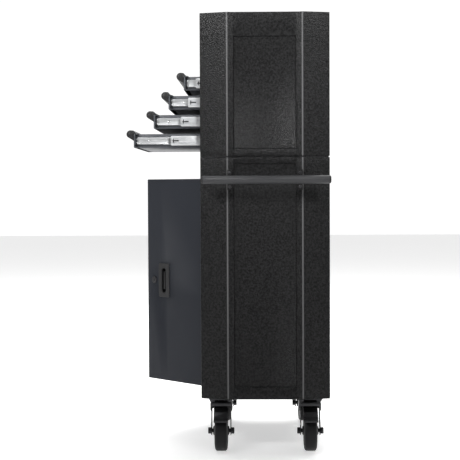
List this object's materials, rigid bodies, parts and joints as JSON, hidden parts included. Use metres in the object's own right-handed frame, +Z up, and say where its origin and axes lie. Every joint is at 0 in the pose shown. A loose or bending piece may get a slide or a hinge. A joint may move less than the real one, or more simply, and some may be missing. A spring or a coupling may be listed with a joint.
{
  "type": "rolling tool chest",
  "caption": "Tall narrow tool chest on a two-door cabinet, with ball-slide drawers, a hinged lid, a side push bar and locking casters.",
  "frame": {"origin": "bottom centre of the box around the whole part at rest, on the floor under the wheels. The box runs from the left side panel to the push bar, and from the longest open drawer's grip to the lid's hinges, so the cabinet's own centre line is at x = -27.5 mm and y = 90.6 mm", "axes": "+Z up; -Y is the front, where the doors and drawers open; +X is the side with the push bar, which the picture shows; at rest the drawers and doors are ajar as in the picture"},
  "size_m": [0.563, 0.5018, 1.078],
  "materials": {
    "body_paint": "black fine-wrinkle powder coat",
    "door_paint": "smooth charcoal powder coat",
    "drawer_paint": "smooth dark blue-grey powder coat",
    "zinc": "bright zinc plate",
    "black_plastic": "matte",
    "grip": "satin dark grey",
    "caster_steel": "black plated",
    "wheel": "satin black tread",
    "lock_metal": "satin black"
  },
  "bodies": {
    "cabinet": {"cabinet_back": "body_paint", "cabinet_bottom_rail": "body_paint", "cabinet_floor": "body_paint", "cabinet_shelf": "body_paint", "cabinet_side_left": "body_paint", "cabinet_side_right": "body_paint", "cabinet_top": "body_paint", "cabinet_top_rail": "body_paint", "caster_bolts": "zinc", "caster_swivel_plates": "caster_steel", "chest_back": "body_paint", "chest_floor": "body_paint", "chest_header": "body_paint", "chest_liners": "body_paint", "chest_lock_case": "lock_metal", "chest_side_left": "body_paint", "chest_side_right": "body_paint", "compartment_floor": "body_paint", "door_pivot_pins": "zinc", "fixed_caster_axles": "zinc", "fixed_caster_brackets": "caster_steel", "lid_hinge_lower_leaves": "zinc", "push_bar": "body_paint", "push_bar_brackets": "body_paint", "slide_outer_members": "zinc"},
    "lid": {"lid": "body_paint", "lid_hinge_upper_leaves": "zinc"},
    "door_right": {"door_right": "door_paint", "door_pull_right": "black_plastic", "door_lock_case": "lock_metal"},
    "door_left": {"door_left": "door_paint", "door_pull_left": "black_plastic"},
    "door_lock": {"door_lock_cylinder": "lock_metal"},
    "chest_lock": {"chest_lock_cylinder": "lock_metal"},
    "drawer_1": {"drawer_1": "drawer_paint", "drawer_1_handle": "grip", "drawer_1_inner_members": "zinc"},
    "slide_1": {"drawer_1_middle_members": "zinc"},
    "drawer_2": {"drawer_2": "drawer_paint", "drawer_2_handle": "grip", "drawer_2_inner_members": "zinc"},
    "slide_2": {"drawer_2_middle_members": "zinc"},
    "drawer_3": {"drawer_3": "drawer_paint", "drawer_3_handle": "grip", "drawer_3_inner_members": "zinc"},
    "slide_3": {"drawer_3_middle_members": "zinc"},
    "drawer_4": {"drawer_4": "drawer_paint", "drawer_4_handle": "grip", "drawer_4_inner_members": "zinc"},
    "slide_4": {"drawer_4_middle_members": "zinc"},
    "caster_front": {"caster_front_fork": "caster_steel", "caster_front_axle": "zinc"},
    "wheel_front": {"caster_front_wheel": "wheel"},
    "pedal_front": {"caster_front_brake_pedal": "caster_steel"},
    "fixed_wheel_front": {"fixed_caster_front_wheel": "wheel"},
    "caster_rear": {"caster_rear_fork": "caster_steel", "caster_rear_axle": "zinc"},
    "wheel_rear": {"caster_rear_wheel": "wheel"},
    "pedal_rear": {"caster_rear_brake_pedal": "caster_steel"},
    "fixed_wheel_rear": {"fixed_caster_rear_wheel": "wheel"}
  },
  "joints": [
    {"name": "lid_hinge", "type": "hinge", "parent": "cabinet", "child": "lid", "pos_m": [-0.0275, 0.24875, 1.0575], "axis": [-1, 0, 0], "range_deg": [0, 90]},
    {"name": "drawer_1_slide", "type": "slide", "parent": "cabinet", "child": "drawer_1", "axis": [0, -1, 0], "range_m": [-0.04, 0.2]},
    {"name": "slide_1_travel", "type": "slide", "parent": "cabinet", "child": "slide_1", "axis": [0, -1, 0], "range_m": [-0.02, 0.1]},
    {"name": "drawer_2_slide", "type": "slide", "parent": "cabinet", "child": "drawer_2", "axis": [0, -1, 0], "range_m": [-0.078, 0.162]},
    {"name": "slide_2_travel", "type": "slide", "parent": "cabinet", "child": "slide_2", "axis": [0, -1, 0], "range_m": [-0.039, 0.081]},
    {"name": "drawer_3_slide", "type": "slide", "parent": "cabinet", "child": "drawer_3", "axis": [0, -1, 0], "range_m": [-0.115, 0.125]},
    {"name": "slide_3_travel", "type": "slide", "parent": "cabinet", "child": "slide_3", "axis": [0, -1, 0], "range_m": [-0.0575, 0.0625]},
    {"name": "drawer_4_slide", "type": "slide", "parent": "cabinet", "child": "drawer_4", "axis": [0, -1, 0], "range_m": [-0.1645, 0.0755]},
    {"name": "slide_4_travel", "type": "slide", "parent": "cabinet", "child": "slide_4", "axis": [0, -1, 0], "range_m": [-0.08225, 0.03775]},
    {"name": "door_right_hinge", "type": "hinge", "parent": "cabinet", "child": "door_right", "pos_m": [0.1797, -0.06245, 0.1565], "axis": [0, 0, 1], "range_deg": [-45, 60]},
    {"name": "door_left_hinge", "type": "hinge", "parent": "cabinet", "child": "door_left", "pos_m": [-0.2347, -0.06245, 0.1565], "axis": [0, 0, -1], "range_deg": [-45, 60]},
    {"name": "door_lock_turn", "type": "hinge", "parent": "door_right", "child": "door_lock", "pos_m": [0.05758, -0.19305, 0.4145], "axis": [-0.7071, 0.7071, 0], "range_deg": [0, 90]},
    {"name": "chest_lock_turn", "type": "hinge", "parent": "cabinet", "child": "chest_lock", "pos_m": [-0.0275, -0.06845, 1.035], "axis": [0, 1, 0], "range_deg": [0, 90]},
    {"name": "caster_front_swivel", "type": "hinge", "parent": "cabinet", "child": "caster_front", "pos_m": [0.1655, -0.01945, 0.121], "axis": [0, 0, 1], "continuous": true},
    {"name": "wheel_front_spin", "type": "hinge", "parent": "caster_front", "child": "wheel_front", "pos_m": [0.2005, -0.01945, 0.05], "axis": [0, 1, 0], "continuous": true},
    {"name": "pedal_front_press", "type": "hinge", "parent": "caster_front", "child": "pedal_front", "pos_m": [0.17849, -0.01945, 0.10447], "axis": [0, 1, 0], "range_deg": [0, 4]},
    {"name": "fixed_wheel_front_spin", "type": "hinge", "parent": "cabinet", "child": "fixed_wheel_front", "pos_m": [-0.2205, -0.01945, 0.05], "axis": [0, 1, 0], "continuous": true},
    {"name": "caster_rear_swivel", "type": "hinge", "parent": "cabinet", "child": "caster_rear", "pos_m": [0.1655, 0.20055, 0.121], "axis": [0, 0, 1], "continuous": true},
    {"name": "wheel_rear_spin", "type": "hinge", "parent": "caster_rear", "child": "wheel_rear", "pos_m": [0.2005, 0.20055, 0.05], "axis": [0, 1, 0], "continuous": true},
    {"name": "pedal_rear_press", "type": "hinge", "parent": "caster_rear", "child": "pedal_rear", "pos_m": [0.17849, 0.20055, 0.10447], "axis": [0, 1, 0], "range_deg": [0, 4]},
    {"name": "fixed_wheel_rear_spin", "type": "hinge", "parent": "cabinet", "child": "fixed_wheel_rear", "pos_m": [-0.2205, 0.20055, 0.05], "axis": [0, 1, 0], "continuous": true}
  ],
  "couplings": [
    {"joint": "slide_1_travel", "follows": "drawer_1_slide", "ratio": 0.5},
    {"joint": "slide_2_travel", "follows": "drawer_2_slide", "ratio": 0.5},
    {"joint": "slide_3_travel", "follows": "drawer_3_slide", "ratio": 0.5},
    {"joint": "slide_4_travel", "follows": "drawer_4_slide", "ratio": 0.5}
  ]
}
